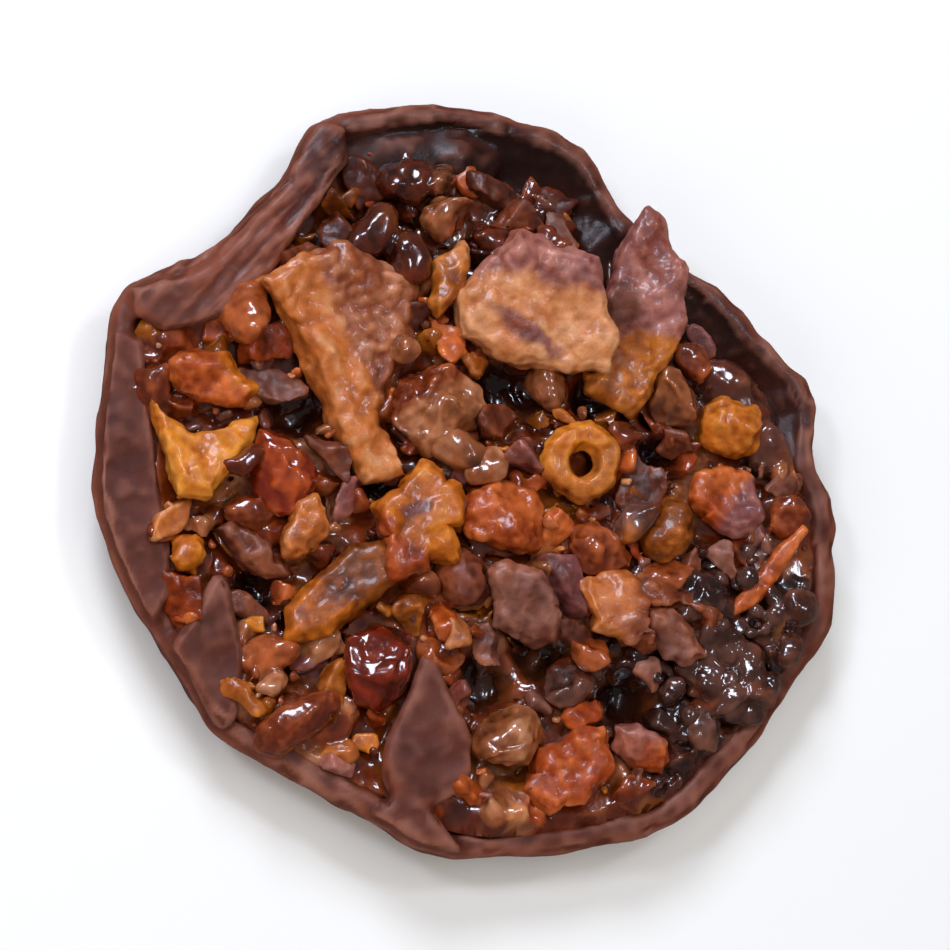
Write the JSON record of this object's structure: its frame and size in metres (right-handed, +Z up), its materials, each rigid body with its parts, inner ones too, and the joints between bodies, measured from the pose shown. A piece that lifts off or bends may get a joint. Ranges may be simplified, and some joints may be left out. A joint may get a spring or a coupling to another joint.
{
  "type": "florentine cookie",
  "caption": "Round biscuit in a scalloped dark chocolate dish, filled with candied peel, chopped nuts and glossy caramel.",
  "frame": {"origin": "centre of the bounding box, on the plane that the cookie rests on", "axes": "+Z up; +Y to the side with the widest bare chocolate; X across"},
  "size_m": [0.06, 0.0606, 0.0101],
  "materials": {
    "dark_chocolate": "satin dark chocolate",
    "chocolate_flake": "satin chocolate flakes and chunks",
    "filling": "small nuts and peel set in glossy caramel",
    "candied_peel": "glazed candied orange peel",
    "nut": "glazed roasted nut",
    "caramel": "glossy set caramel"
  },
  "bodies": {
    "root": {"chocolate_base": "dark_chocolate", "nut_caramel_layer": "filling", "peel_long_slab": "candied_peel", "nut_large": "nut", "peel_folded": "candied_peel", "peel_tooth": "candied_peel", "peel_leaf_left": "candied_peel", "peel_sliver_top": "candied_peel", "peel_amber_rim": "candied_peel", "nut_chip_left": "nut", "chocolate_flake_left": "chocolate_flake", "peel_bar": "candied_peel", "peel_star": "candied_peel", "peel_flap_right": "candied_peel", "peel_strip_right": "candied_peel", "chocolate_flake_ridge": "chocolate_flake", "peel_crumbly_ridge": "candied_peel", "chocolate_flake_middle": "chocolate_flake", "peel_chunk_bottom": "candied_peel", "peel_curl_bottom": "candied_peel", "peel_ring": "candied_peel", "caramel_ball_left": "caramel", "caramel_centre": "caramel", "caramel_bead_top": "caramel", "peel_red_lump": "candied_peel", "caramel_bead_right": "caramel", "peel_drop_right": "candied_peel", "caramel_amber_right": "candied_peel", "caramel_bead_brown": "caramel", "chocolate_chunk_middle": "chocolate_flake", "caramel_ball_bottom": "caramel", "caramel_bead_dark": "caramel", "caramel_amber_bottom": "caramel", "caramel_mass_right": "caramel", "peel_drop_left": "candied_peel"}
  },
  "joints": []
}
